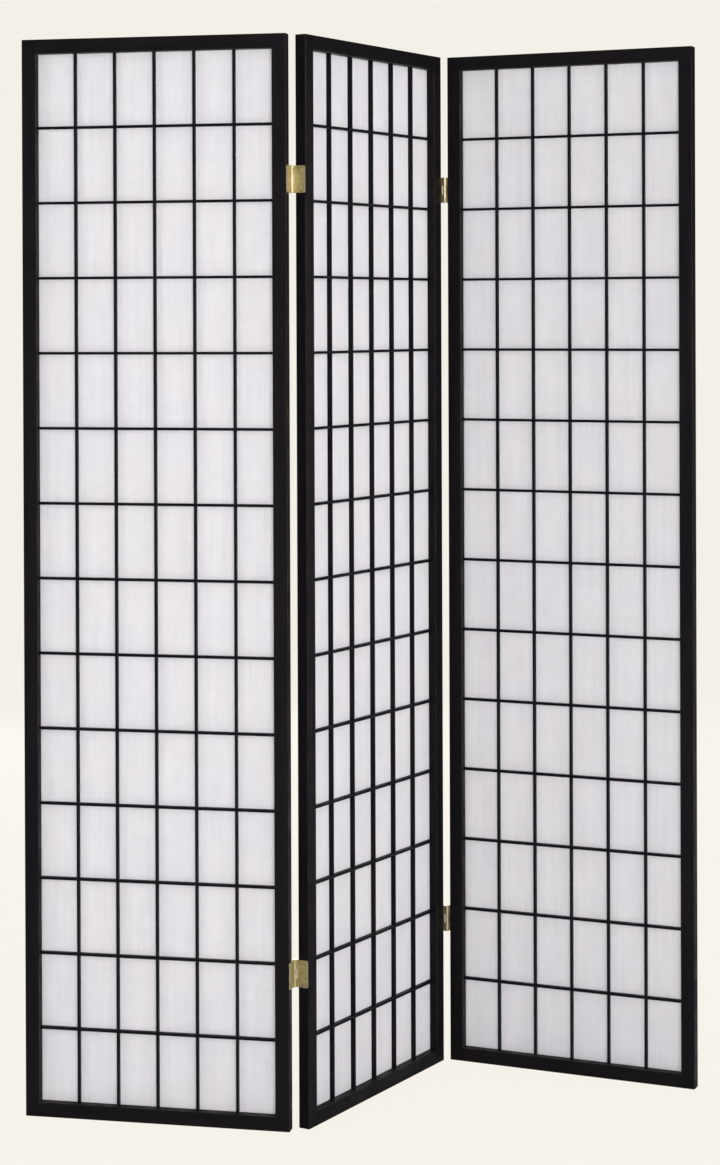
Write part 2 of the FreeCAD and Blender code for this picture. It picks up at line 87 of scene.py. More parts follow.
LIT_POINT = (0.0, 0.0, 0.9)  # where the soft lights are aimed
LIGHT_DISTANCE = 4.2
SOFTBOXES = (  # name, azimuth and elevation in degrees, side in metres
    ("front", 9, 8, 1.6),
    ("right", 60, 20, 1.6),
    ("left", -72, 18, 2.0),
    ("back", 190, 10, 1.8),
)


# ---------------------------------------------------------------------------------------------
# Sizes and colours


class LacquerSettings(PropertyGroup):
    """The black lacquer on frames, lattices and beads."""

    frame_colour: FloatVectorProperty(
        name="Frame", description="Lacquer on the stiles and rails",
        subtype="COLOR", size=3, min=0, max=1, default=(0.0042, 0.0038, 0.0055))
    lattice_colour: FloatVectorProperty(
        name="Lattice", description="Lacquer on the thin bars",
        subtype="COLOR", size=3, min=0, max=1, default=(0.0032, 0.0034, 0.0062))
    wood_colour: FloatVectorProperty(
        name="Wood", description="Brown that shows where the lacquer is thin",
        subtype="COLOR", size=3, min=0, max=1, default=(0.062, 0.040, 0.027))
    roughness: FloatProperty(
        name="Roughness", description="Middle roughness of the satin surface",
        subtype="FACTOR", min=0, max=1, default=0.5)
    roughness_spread: FloatProperty(
        name="Roughness spread", description="How far the roughness strays from the middle",
        subtype="FACTOR", min=0, max=1, default=0.09)
    reflection: FloatProperty(
        name="Reflection", description="Strength of the reflections in the lacquer",
        subtype="FACTOR", min=0, max=1, default=0.1)
    grain_relief: FloatProperty(
        name="Grain relief", description="Depth of the wood's grain under the lacquer",
        subtype="DISTANCE", unit="LENGTH", min=0, max=0.001, default=0.00012)
    wear_reach: FloatProperty(
        name="Wear reach", description="How far in from an edge the lacquer is thin",
        subtype="DISTANCE", unit="LENGTH", min=0.0001, max=0.01, default=0.0014)


class PaperSettings(PropertyGroup):
    """The translucent fibre paper behind the lattices."""

    sheet_colour: FloatVectorProperty(
        name="Sheet", description="Colour of the paper itself",
        subtype="COLOR", size=3, min=0, max=1, default=(0.705, 0.699, 0.736))
    fibre_colour: FloatVectorProperty(
        name="Fibres", description="Colour of the long fibres in the paper",
        subtype="COLOR", size=3, min=0, max=1, default=(0.955, 0.941, 0.954))
    tint_colour: FloatVectorProperty(
        name="Tint", description="Slightly warmer colour of the paper in broad patches",
        subtype="COLOR", size=3, min=0, max=1, default=(0.735, 0.705, 0.718))
    translucency: FloatProperty(
        name="Translucency", description="Share of the light that passes into the sheet",
        subtype="FACTOR", min=0, max=1, default=0.5)
    roughness: FloatProperty(
        name="Roughness", description="Roughness of the paper's faint sheen",
        subtype="FACTOR", min=0, max=1, default=0.7)
    thickness: FloatProperty(
        name="Thickness", description="Thickness of the sheet",
        subtype="DISTANCE", unit="LENGTH", min=0.0001, max=0.0004, default=0.0003)
    bow: FloatProperty(
        name="Bow", description="How far the paper stands off its plane in the middle of a cell",
        subtype="DISTANCE", unit="LENGTH", min=0, max=0.002, default=0.0003)
    cockle: FloatProperty(
        name="Cockle", description="Height of the upright ripples in a cell",
        subtype="DISTANCE", unit="LENGTH", min=0, max=0.001, default=0.00012)
    fibre_relief: FloatProperty(
        name="Fibre relief", description="Height of the fibres on the paper's surface",
        subtype="DISTANCE", unit="LENGTH", min=0, max=0.0005, default=0.00004)
    cell_steps: IntProperty(
        name="Steps", description="Faces across a cell of the lattice",
        min=4, max=24, default=12)
    seed: IntProperty(
        name="Seed", description="Number that the random bows and ripples start from",
        min=0, default=11)


class BrassSettings(PropertyGroup):
    """The brass of hinges and screws."""

    plate_colour: FloatVectorProperty(
        name="Plate", description="Brass of the leaves and knuckles",
        subtype="COLOR", size=3, min=0, max=1, default=(0.60, 0.52, 0.31))
    tarnish_colour: FloatVectorProperty(
        name="Tarnish", description="Duller brass in patches",
        subtype="COLOR", size=3, min=0, max=1, default=(0.36, 0.33, 0.195))
    plate_roughness: FloatProperty(
        name="Plate roughness", description="Middle roughness of the brushed leaves",
        subtype="FACTOR", min=0, max=1, default=0.44)
    screw_roughness: FloatProperty(
        name="Screw roughness", description="Middle roughness of the pins and screws",
        subtype="FACTOR", min=0, max=1, default=0.24)
    mark_relief: FloatProperty(
        name="Brush marks", description="Depth of the brush marks",
        subtype="DISTANCE", unit="LENGTH", min=0, max=0.0002, default=0.00001)


class StageSettings(PropertyGroup):
    """Floor, lights and camera."""

    ground_colour: FloatVectorProperty(
        name="Ground", description="Floor and background as the camera sees them",
        subtype="COLOR", size=3, min=0, max=1, default=(0.905, 0.871, 0.799))
    ground_radius: FloatProperty(
        name="Ground radius", description="Radius of the round floor",
        subtype="DISTANCE", unit="LENGTH", min=5, default=60.0)
    shadow_share: FloatProperty(
        name="Shadow", description="Share of the floor's brightness that a shadow can take away",
        subtype="FACTOR", min=0, max=0.9, default=0.07)
    bounce: FloatProperty(
        name="Bounce", description="Share of the light that the floor sends back up",
        subtype="FACTOR", min=0, max=1, default=0.77)
    mirrored_floor: FloatProperty(
        name="Mirrored floor", description="Share of the floor's brightness that reflections show",
        subtype="FACTOR", min=0, max=1, default=0.9)
    mirrored_sky: FloatProperty(
        name="Mirrored sky", description="Share of the sky's brightness that reflections show",
        subtype="FACTOR", min=0, max=1, default=0.3)
    sky: FloatProperty(
        name="Sky", description="Brightness straight above, falling to none at the horizon",
        min=0, default=0.67)
    front_power: FloatProperty(
        name="Front light", description="Power of the soft light in front",
        unit="POWER", min=0, default=97.0)
    right_power: FloatProperty(
        name="Right light", description="Power of the soft light at the right",
        unit="POWER", min=0, default=52.0)
    left_power: FloatProperty(
        name="Left light", description="Power of the soft light at the left",
        unit="POWER", min=0, default=37.0)
    back_power: FloatProperty(
        name="Back light", description="Power of the soft light behind the screen",
        unit="POWER", min=0, default=92.0)
    camera_place: FloatVectorProperty(
        name="Camera", description="Place of the camera",
        subtype="TRANSLATION", unit="LENGTH", size=3, default=(-0.00193, -4.32415, 1.32264))
    camera_yaw: FloatProperty(
        name="Yaw", description="Turn of the camera to the left",
        subtype="ANGLE", default=math.radians(0.0868))
    camera_pitch: FloatProperty(
        name="Pitch", description="Tilt of the camera upwards",
        subtype="ANGLE", default=-0.005)
    camera_roll: FloatProperty(
        name="Roll", description="Turn of the camera about its own line of sight",
        subtype="ANGLE", default=-0.00354)
    focal_length: FloatProperty(
        name="Focal length", description="Lens in millimetres, for a sensor 36 mm on its long side",
        min=10, default=78.41)
    lens_shift: FloatProperty(
        name="Lens shift", description="Upward shift of the lens, as a share of the frame's height",
        default=-0.2163)


# ---------------------------------------------------------------------------------------------
# Where the panels stand


def points_of(node):
    """All the vertices of a CAD node, as rows (x, y, z)."""
    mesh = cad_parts[node].data
    flat = np.empty(3 * len(mesh.vertices), np.float32)
    mesh.vertices.foreach_get("co", flat)
    return flat.reshape(-1, 3).astype(float)


def panel_matrix(panel):
    """The matrix that takes the panel's own axes to the model's.

    The corners of the panel's paper spread furthest along the panel, so seen from above its
    direction is the main axis of their scatter. The origin is the middle of their box.
    """
    points = points_of(panel + "_panel_paper")
    centre = (points.min(0) + points.max(0)) / 2
    level = points[:, :2] - centre[:2]
    spread, axes = np.linalg.eigh(level.T @ level)
    along = axes[:, np.argmax(spread)]
    turn = math.atan(along[1] / along[0])
    return Matrix.Translation(Vector(centre)) @ Matrix.Rotation(turn, 4, "Z")


def in_panel(panel, nodes):
    """The vertices of these CAD nodes in the panel's own axes."""
    inward = np.array(panel_matrix(panel).inverted())
    points = np.concatenate([points_of(node) for node in nodes])
    return points @ inward[:3, :3].T + inward[:3, 3]


def members(panel, nodes, axis):
    """The low and high edge of each timber member along one of the panel's axes, in order.

    The sorted coordinates are split wherever two neighbours lie further apart than the points of
    one member do.
    """
    places = np.sort(in_panel(panel, nodes)[:, axis])
    cuts = np.flatnonzero(np.diff(places) > MEMBER_GAP) + 1
    return np.array([(run[0], run[-1]) for run in np.split(places, cuts)])


def stiles(panel):
    """The names of a panel's two stiles."""
    return [f"{panel}_panel_{side}_stile" for side in SIDES]


def rails(panel):
    """The names of a panel's two rails."""
    return [f"{panel}_panel_{end}_rail" for end in ENDS]


def upright_bars(panel):
    """The names of a panel's upright lattice bars."""
    return [f"{panel}_panel_vertical_bar_{number + 1}" for number in range(UPRIGHT_BARS)]


def level_bars(panel):
    """The name of the node that holds a panel's level lattice bars."""
    return [f"{panel}_panel_horizontal_bars"]


def beads(panel, places):
    """The names of the panel's retaining beads at these sides or ends."""
    return [f"{panel}_panel_{place}_bead" for place in places]


# ---------------------------------------------------------------------------------------------
# Building blocks of materials


def add_node(tree, kind, inputs=None, **settings):
    """A new node.

    inputs maps a socket's name or number to a value or to the output that feeds it.
    """
    node = tree.nodes.new(kind)
    for name, value in settings.items():
        setattr(node, name, value)
    for key, value in (inputs or {}).items():
        socket = node.inputs[key]
        if isinstance(value, NodeSocket):
            tree.links.new(value, socket)
        elif socket.type == "RGBA":
            socket.default_value = (*value[:3], 1.0)
        else:
            socket.default_value = value
    return node


def maths(tree, operation, *values):
    """The result of a Math node on these values or outputs."""
    return add_node(
        tree, "ShaderNodeMath", dict(enumerate(values)), operation=operation).outputs[0]


def stretched(tree, vector, counts):
    """A place whose X, Y and Z count by these shares. A pattern runs along an axis of low share."""
    return add_node(
        tree, "ShaderNodeVectorMath", {0: vector, 1: counts}, operation="MULTIPLY").outputs[0]


def noise(tree, vector, seed, feature, detail=2.0):
    """Smooth noise from 0 to 1 whose blotches are about a feature wide."""
    return add_node(
        tree, "ShaderNodeTexNoise",
        {"Vector": vector, "W": seed, "Scale": 1 / feature, "Detail": detail},
        noise_dimensions="4D").outputs["Fac"]


def eased(tree, value, low, high, to_low=0.0, to_high=1.0):
    """Carries low to high smoothly onto to_low to to_high. Beyond them the value stays level."""
    return add_node(
        tree, "ShaderNodeMapRange",
        {"Value": value, "From Min": low, "From Max": high, "To Min": to_low, "To Max": to_high},
        interpolation_type="SMOOTHSTEP").outputs["Result"]


def thread(tree, value):
    """1 where noise passes its middle value and 0 elsewhere, which draws thin wandering lines."""
    away = maths(tree, "ABSOLUTE", maths(tree, "SUBTRACT", value, 0.5))
    return eased(tree, away, 0.0, THREAD_HALF_WIDTH, 1.0, 0.0)


def mixed(tree, share, first, second):
    """The mix of two colours: first where the share is 0, second where it is 1."""
    return add_node(
        tree, "ShaderNodeMixRGB", {"Fac": share, "Color1": first, "Color2": second}).outputs[0]


def new_group(name, inputs, outputs):
    """An empty shader node group, as (group, outputs of its input node).

    inputs and outputs map each socket's name to its kind.
    """
    group = bpy.data.node_groups.new(name, "ShaderNodeTree")
    for in_out, sockets in (("INPUT", inputs), ("OUTPUT", outputs)):
        for label, kind in sockets.items():
            group.interface.new_socket(label, in_out=in_out, socket_type="NodeSocket" + kind)
    return group, add_node(group, "NodeGroupInput").outputs


def use_effect(tree, name, inputs):
    """The outputs of a shared effect placed in a material. Its group is built at its first use."""
    group = bpy.data.node_groups.get(name) or EFFECTS[name](name)
    return add_node(tree, "ShaderNodeGroup", inputs, node_tree=group).outputs


def panel_place(tree, panel, turn=UPRIGHT):
    """Object coordinates carried into the panel's own axes, and then turned."""
    placed = turn @ panel_matrix(panel).inverted()
    place = add_node(tree, "ShaderNodeTexCoord").outputs["Object"]
    return add_node(
        tree, "ShaderNodeMapping",
        {"Vector": place, "Location": placed.to_translation(), "Rotation": placed.to_euler()},
    ).outputs[0]


def surface(tree, colour, roughness, height, relief, **constants):
    """A Principled BSDF with a bump of this relief, as its shader output."""
    bump = add_node(tree, "ShaderNodeBump", {"Height": height, "Distance": relief})
    named = {label.replace("_", " "): value for label, value in constants.items()}
    return add_node(
        tree, "ShaderNodeBsdfPrincipled",
        {"Base Color": colour, "Roughness": roughness, "Normal": bump.outputs[0], **named},
    ).outputs[0]


def new_material(name):
    """A material with an empty node tree, as (material, tree)."""
    material = bpy.data.materials.new(name)
    material.use_nodes = True
    material.node_tree.nodes.clear()
    return material, material.node_tree


def show(tree, shader):
    """Feeds a shader to the material's output."""
    add_node(tree, "ShaderNodeOutputMaterial", {"Surface": shader})


def give(material, nodes):
    """Puts a material on these CAD nodes."""
    for node in nodes:
        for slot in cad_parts[node].material_slots:
            slot.material = material


# ---------------------------------------------------------------------------------------------
# Effects that several materials share


def lacquered_grain(name):
    """Black lacquer over wood whose grain runs along Z, as a node group.

    Fine fibres and a broad figure are noise drawn out along Z, and the film's own mottling is plain
    noise. The wood shows a little in the figure, and more where the wear mask is high.
    """
    group, given = new_group(
        name,
        {"Vector": "Vector", "Seed": "Float", "Lacquer": "Color", "Wood": "Color",
         "Wear": "Float", "Roughness": "Float", "Spread": "Float"},
        {"Color": "Color", "Roughness": "Float", "Height": "Float"})
    vector, seed = given["Vector"], given["Seed"]
    fibres = noise(group, stretched(group, vector, (1.0, 1.0, 0.03)), seed, 0.0012, detail=3.0)
    figure = noise(group, stretched(group, vector, (1.0, 1.0, 0.06)), seed, 0.011)
    mottle = noise(group, vector, seed, 0.03)
    worn = maths(group, "MULTIPLY", given["Wear"], eased(group, fibres, 0.35, 0.65, 0.1, 0.65))
    grained = maths(group, "MULTIPLY", eased(group, figure, 0.3, 0.7), FIGURE_WOOD)
    share = maths(group, "MAXIMUM", worn, grained)
    stray = maths(group, "SUBTRACT", eased(group, mottle, 0.3, 0.7, 0.0, 2.0), 1.0)
    rough = maths(group, "MULTIPLY_ADD", stray, given["Spread"], given["Roughness"])
    height = maths(group, "MULTIPLY", figure, FIGURE_HEIGHT)
    height = maths(group, "MULTIPLY_ADD", fibres, FIBRE_HEIGHT, height)
    add_node(group, "NodeGroupOutput", {
        "Color": mixed(group, share, given["Lacquer"], given["Wood"]),
        "Roughness": rough,
        "Height": height})
    return group


def frame_edges(name):
    """A mask that is 1 on the edges of a panel's frame and 0 beyond the reach, as a node group.

    A point of the frame is some way from the nearest side of its member, across the panel, and some
    way from the nearer of front and back. The distance to the nearest edge is the root of the sum
    of their squares.
    """
    group, given = new_group(
        name,
        {"Vector": "Vector", "Outer": "Vector", "Opening": "Vector",
         "Front": "Float", "Back": "Float", "Reach": "Float"},
        {"Mask": "Float"})
    size = add_node(group, "ShaderNodeVectorMath", {0: given["Vector"]}, operation="ABSOLUTE")
    inward = add_node(
        group, "ShaderNodeVectorMath", {0: given["Outer"], 1: size.outputs[0]},
        operation="SUBTRACT")
    outward = add_node(
        group, "ShaderNodeVectorMath", {0: size.outputs[0], 1: given["Opening"]},
        operation="SUBTRACT")
    from_rim = add_node(group, "ShaderNodeSeparateXYZ", {0: inward.outputs[0]}).outputs
    from_hole = add_node(group, "ShaderNodeSeparateXYZ", {0: outward.outputs[0]}).outputs
    depth = add_node(group, "ShaderNodeSeparateXYZ", {0: given["Vector"]}).outputs["Y"]
    side = maths(
        group, "MINIMUM",
        maths(group, "MINIMUM", from_rim["X"], from_rim["Z"]),
        maths(group, "MAXIMUM", from_hole["X"], from_hole["Z"]))
    face = maths(
        group, "MINIMUM",
        maths(group, "SUBTRACT", depth, given["Front"]),
        maths(group, "SUBTRACT", given["Back"], depth))
    squares = maths(group, "MULTIPLY_ADD", side, side, maths(group, "MULTIPLY", face, face))
    near = maths(group, "DIVIDE", maths(group, "SQRT", squares), given["Reach"])
    add_node(group, "NodeGroupOutput", {"Mask": eased(group, near, 0.3, 1.0, 1.0, 0.0)})
    return group


def brushed_brass(name):
    """Brass with fine upright brush marks and dull tarnished patches, as a node group."""
    group, given = new_group(
        name,
        {"Vector": "Vector", "Seed": "Float", "Plate": "Color", "Tarnish": "Color",
         "Roughness": "Float"},
        {"Color": "Color", "Roughness": "Float", "Height": "Float"})
    vector, seed = given["Vector"], given["Seed"]
    marks = noise(group, stretched(group, vector, (1.0, 1.0, 0.05)), seed, 0.0004)
    patches = noise(group, vector, seed, 0.007, detail=3.0)
    dull = eased(group, patches, 0.45, 0.75)
    share = maths(
        group, "MULTIPLY_ADD", dull, PATCH_SHARE, maths(group, "MULTIPLY", marks, MARK_SHARE))
    added = maths(group, "MULTIPLY", share, TARNISH_ROUGHNESS)
    rough = maths(group, "ADD", given["Roughness"], added)
    add_node(group, "NodeGroupOutput", {
        "Color": mixed(group, share, given["Plate"], given["Tarnish"]),
        "Roughness": rough,
        "Height": marks})
    return group


def fibre_paper(name):
    """What a sheet of fibre paper sends back and lets through, and its relief, as a node group.

    Broad and fine streaks are noise drawn out along Z, and fainter ones are noise drawn out along
    X. The strands lie where further noise passes its middle value, which gives thin wandering
    lines. Clouds are where the pulp settled thicker: the sheet sends back more light there and
    lets less through. In broad patches the sheet takes the tint of slightly aged paper.
    """
    group, given = new_group(
        name,
        {"Vector": "Vector", "Seed": "Float", "Sheet": "Color", "Fibre": "Color", "Tint": "Color"},
        {"Color": "Color", "Through": "Color", "Height": "Float"})
    vector, seed = given["Vector"], given["Seed"]
    broad = noise(group, stretched(group, vector, (1.0, 1.0, 0.03)), seed, 0.0065, detail=3.0)
    fine = noise(group, stretched(group, vector, (1.0, 1.0, 0.05)), seed, 0.0016)
    level = noise(group, stretched(group, vector, (0.06, 1.0, 1.0)), seed, 0.007, detail=3.0)
    clouds = noise(group, vector, seed, 0.03, detail=5.0)
    upright = noise(group, stretched(group, vector, (1.0, 1.0, 0.3)), seed, 0.014, detail=1.0)
    loose = noise(group, vector, maths(group, "ADD", seed, 7.0), 0.011, detail=1.0)
    strands = maths(
        group, "MULTIPLY",
        maths(group, "MAXIMUM", thread(group, upright), thread(group, loose)),
        eased(group, clouds, 0.4, 0.6))
    pulp = maths(group, "MULTIPLY", eased(group, fine, 0.3, 0.7), FINE_SHARE)
    pulp = maths(group, "MULTIPLY_ADD", eased(group, broad, 0.25, 0.75), BROAD_SHARE, pulp)
    pulp = maths(group, "MULTIPLY_ADD", eased(group, level, 0.25, 0.75), LEVEL_SHARE, pulp)
    pulp = maths(group, "MULTIPLY_ADD", eased(group, clouds, 0.3, 0.7), CLOUD_SHARE, pulp)
    share = maths(group, "MAXIMUM", pulp, maths(group, "MULTIPLY", strands, STRAND_SHARE))
    back = maths(group, "MULTIPLY", share, THROUGH_SHARE)
    aged = eased(group, noise(group, vector, maths(group, "ADD", seed, 3.0), 0.11), 0.35, 0.65)
    sheet = mixed(group, aged, given["Sheet"], given["Tint"])
    add_node(group, "NodeGroupOutput", {
        "Color": mixed(group, share, sheet, given["Fibre"]),
        "Through": mixed(group, back, given["Fibre"], given["Sheet"]),
        "Height": share})
    return group


EFFECTS = {
    "Lacquered Grain": lacquered_grain,
    "Frame Edges": frame_edges,
    "Brushed Brass": brushed_brass,
    "Fibre Paper": fibre_paper,
}


# ---------------------------------------------------------------------------------------------
# Timber


def lacquer_material(name, panel, turn, colour, edges=False):
    """Black lacquer on the members of one panel whose grain runs up, or level if turned so."""
    settings = bpy.context.scene.shoji_lacquer
    material, tree = new_material(name)
    wear = 0.0
    if edges:
        across, up = members(panel, stiles(panel), 0), members(panel, rails(panel), 2)
        depth = in_panel(panel, stiles(panel))[:, 1]
        wear = use_effect(tree, "Frame Edges", {
            "Vector": panel_place(tree, panel),
            "Outer": (across[-1, 1], 0.0, up[-1, 1]),
            "Opening": (across[-1, 0], 0.0, up[-1, 0]),
            "Front": depth.min(),
            "Back": depth.max(),
            "Reach": settings.wear_reach})["Mask"]
    grain = use_effect(tree, "Lacquered Grain", {
        "Vector": panel_place(tree, panel, turn),
        "Seed": float(PANELS.index(panel)),
        "Lacquer": colour,
        "Wood": settings.wood_colour,
        "Wear": wear,
        "Roughness": settings.roughness,
        "Spread": settings.roughness_spread})
    show(tree, surface(
        tree, grain["Color"], grain["Roughness"], grain["Height"], settings.grain_relief,
        IOR=LACQUER_IOR, Specular_IOR_Level=settings.reflection))
    return material


class SHOJI_OT_lacquer_frames(Operator):
    """Lacquers the stiles and rails, with thin lacquer along their edges"""

    bl_idname = "shoji.lacquer_frames"
    bl_label = "Lacquer the Frames"
    bl_options = {"REGISTER", "UNDO"}

    def execute(self, context):
        colour = context.scene.shoji_lacquer.frame_colour
        for panel in PANELS:
            give(lacquer_material(f"{panel} stile lacquer", panel, UPRIGHT, colour, True),
                 stiles(panel))
            give(lacquer_material(f"{panel} rail lacquer", panel, LEVEL, colour, True),
                 rails(panel))
        return {"FINISHED"}


class SHOJI_OT_lacquer_lattices(Operator):
    """Lacquers the thin bars of the lattices"""

    bl_idname = "shoji.lacquer_lattices"
    bl_label = "Lacquer the Lattices"
    bl_options = {"REGISTER", "UNDO"}

    def execute(self, context):
        colour = context.scene.shoji_lacquer.lattice_colour
        for panel in PANELS:
            give(lacquer_material(f"{panel} upright bar lacquer", panel, UPRIGHT, colour),
                 upright_bars(panel))
            give(lacquer_material(f"{panel} level bar lacquer", panel, LEVEL, colour),
                 level_bars(panel))
        return {"FINISHED"}


class SHOJI_OT_lacquer_beads(Operator):
    """Lacquers the beads that hold the paper in its rebate"""

    bl_idname = "shoji.lacquer_beads"
    bl_label = "Lacquer the Beads"
    bl_options = {"REGISTER", "UNDO"}

    def execute(self, context):
        colour = context.scene.shoji_lacquer.frame_colour
        for panel in PANELS:
            give(lacquer_material(f"{panel} side bead lacquer", panel, UPRIGHT, colour),
                 beads(panel, SIDES))
            give(lacquer_material(f"{panel} end bead lacquer", panel, LEVEL, colour),
                 beads(panel, ENDS))
        return {"FINISHED"}


# ---------------------------------------------------------------------------------------------
# Paper


def grid_lines(held, edges, steps):
    """Places of the sheet's grid lines along one axis, with the cell and the rise of each.

    held has the members' (low, high) edges. Between two members the lines crowd towards both, at
    low + width * (1 - cos(pi t)) / 2 with t even from 0 to 1, and rise is sin(pi t) of that t.
    Where a member holds the paper, and at the sheet's own edges, the rise is 0.
    """
    t = np.linspace(0, 1, steps + 1)
    low, high = held[:-1, 1], held[1:, 0]
    lines = low[:, None] + (high - low)[:, None] * (1 - np.cos(math.pi * t)) / 2
    rises = np.tile(np.sin(math.pi * t), (len(low), 1))
    cells = np.repeat(np.arange(len(low)), steps + 1)
    places = np.concatenate([edges[:1], lines.ravel(), edges[1:]])
    return places, np.pad(rises.ravel(), 1), np.pad(cells, 1, mode="edge")


def sheet_grid(panel, settings, rng):
    """A panel's paper as an array [up, across] of points in the panel's own axes.

    Each cell of the lattice bows off the plane by its own random depth, as the product of its rise
    across and the root of its rise up, which keeps it nearly even up the cell. Upright ripples
    with a random phase and number of waves ride on the same product.
    """
    across = members(panel, stiles(panel) + upright_bars(panel), 0)
    up = members(panel, rails(panel) + level_bars(panel), 2)
    rim = in_panel(panel, [panel + "_panel_paper"])
    low, high = rim.min(0), rim.max(0)
    x, rise_x, column = grid_lines(across, np.array([low[0], high[0]]), settings.cell_steps)
    z, rise_z, row = grid_lines(up, np.array([low[2], high[2]]), settings.cell_steps)
    shape = len(up) - 1, len(across) - 1
    cell = row[:, None], column[None, :]
    bow = settings.bow * rng.uniform(*BOW_SHARES, shape)
    phase = rng.uniform(0, 2 * math.pi, shape)
    waves = rng.uniform(*WAVES_IN_CELL, shape)
    width = across[1, 0] - across[0, 1]
    free = rise_x[None, :] * np.sqrt(rise_z[:, None])
    ripple = np.sin(2 * math.pi * waves[cell] * x[None, :] / width + phase[cell])
    depth = free * (bow[cell] + settings.cockle * ripple)
    return np.stack(np.broadcast_arrays(x[None, :], depth, z[:, None]), axis=-1)


def sheet_shell(grid, thickness):
    """Vertices and faces of a thin closed shell about a grid of points.

    The front skin lies half the thickness towards -Y and the back skin half towards +Y. Each skin
    has a face for every square of the grid, and a strip of faces joins the rims of the two skins.
    """
    rows, columns = grid.shape[:2]
    shift = np.array([0.0, thickness / 2, 0.0])
    vertices = np.concatenate([(grid - shift).reshape(-1, 3), (grid + shift).reshape(-1, 3)])
    front = np.arange(rows * columns).reshape(rows, columns)
    back = front + rows * columns

    def squares(skin):
        """The four corners of every square of one skin."""
        return np.stack([skin[:-1, :-1], skin[:-1, 1:], skin[1:, 1:], skin[1:, :-1]], axis=-1)

    rim = np.concatenate([
        front[0, :], front[1:, -1], front[-1, -2::-1], front[-2::-1, 0]])
    strip = np.stack([rim[1:], rim[:-1], rim[:-1] + rows * columns, rim[1:] + rows * columns], -1)
    faces = np.concatenate([
        squares(front).reshape(-1, 4), squares(back).reshape(-1, 4)[:, ::-1], strip])
    return vertices, faces


def new_piece(name, vertices, faces, material):
    """A smooth-shaded mesh object at the origin, linked to the scene."""
    mesh = bpy.data.meshes.new(name)
    mesh.from_pydata(vertices, [], faces)
    mesh.shade_smooth()
    mesh.materials.append(material)
    piece = bpy.data.objects.new(name, mesh)
    bpy.context.scene.collection.objects.link(piece)
    return piece


def paper_material(panel):
    """Fibre paper: part of the light goes back from its face and part passes through."""
    settings = bpy.context.scene.shoji_paper
    material, tree = new_material(f"{panel} fibre paper")
    fibre = use_effect(tree, "Fibre Paper", {
        "Vector": panel_place(tree, panel),
        "Seed": float(PANELS.index(panel)),
        "Sheet": settings.sheet_colour,
        "Fibre": settings.fibre_colour,
        "Tint": settings.tint_colour})
    face = surface(
        tree, fibre["Color"], settings.roughness, fibre["Height"], settings.fibre_relief,
        IOR=PAPER_IOR)
    through = add_node(tree, "ShaderNodeBsdfTranslucent", {"Color": fibre["Through"]})
    show(tree, add_node(
        tree, "ShaderNodeMixShader",
        {0: settings.translucency, 1: face, 2: through.outputs[0]}).outputs[0])
    return material


class SHOJI_OT_make_papers(Operator):
    """Makes the three sheets of paper, held between the lattice and the beads"""

    bl_idname = "shoji.make_papers"
    bl_label = "Make the Papers"
    bl_options = {"REGISTER", "UNDO"}

    def execute(self, context):
        settings = context.scene.shoji_paper
        rng = np.random.default_rng(settings.seed)
        for panel in PANELS:
            block = panel + "_panel_paper"
            vertices, faces = sheet_shell(sheet_grid(panel, settings, rng), settings.thickness)
            outward = np.array(panel_matrix(panel))
            placed = vertices @ outward[:3, :3].T + outward[:3, 3]
            sheet = new_piece(f"{panel}_paper_sheet", placed, faces, paper_material(panel))
            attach(sheet, panel + "_panel")
            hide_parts(block)
            width, _, length = np.ptp(in_panel(panel, [block]), axis=0)
        return {"FINISHED"}


# ---------------------------------------------------------------------------------------------
# Brass


def brass_material(name, seed, roughness):
    """Brass with brush marks and a little tarnish."""
    settings = bpy.context.scene.shoji_brass
    material, tree = new_material(name)
    brushed = use_effect(tree, "Brushed Brass", {
        "Vector": add_node(tree, "ShaderNodeTexCoord").outputs["Object"],
        "Seed": seed,
        "Plate": settings.plate_colour,
        "Tarnish": settings.tarnish_colour,
        "Roughness": roughness})
    show(tree, surface(
        tree, brushed["Color"], brushed["Roughness"], brushed["Height"], settings.mark_relief,
        Metallic=1.0))
    return material


class SHOJI_OT_polish_hinges(Operator):
    """Gives the hinge leaves brushed brass and the pins a brighter one"""

    bl_idname = "shoji.polish_hinges"
    bl_label = "Polish the Hinges"
    bl_options = {"REGISTER", "UNDO"}

    def execute(self, context):
        settings = context.scene.shoji_brass
        give(brass_material("leaf brass", LEAF_SEED, settings.plate_roughness),
             [f"{hinge}_{leaf}" for hinge in HINGES for leaf in LEAVES])
        give(brass_material("pin brass", PIN_SEED, settings.screw_roughness),
             [hinge + "_pin" for hinge in HINGES])
        return {"FINISHED"}


class SHOJI_OT_polish_screws(Operator):
    """Gives the hinge screws bright brass"""

    bl_idname = "shoji.polish_screws"
    bl_label = "Polish the Screws"
    bl_options = {"REGISTER", "UNDO"}

    def execute(self, context):
        settings = context.scene.shoji_brass
        give(brass_material("screw brass", SCREW_SEED, settings.screw_roughness),
             [panel + "_panel_screws" for panel in PANELS])
        return {"FINISHED"}


# ---------------------------------------------------------------------------------------------
# Stage


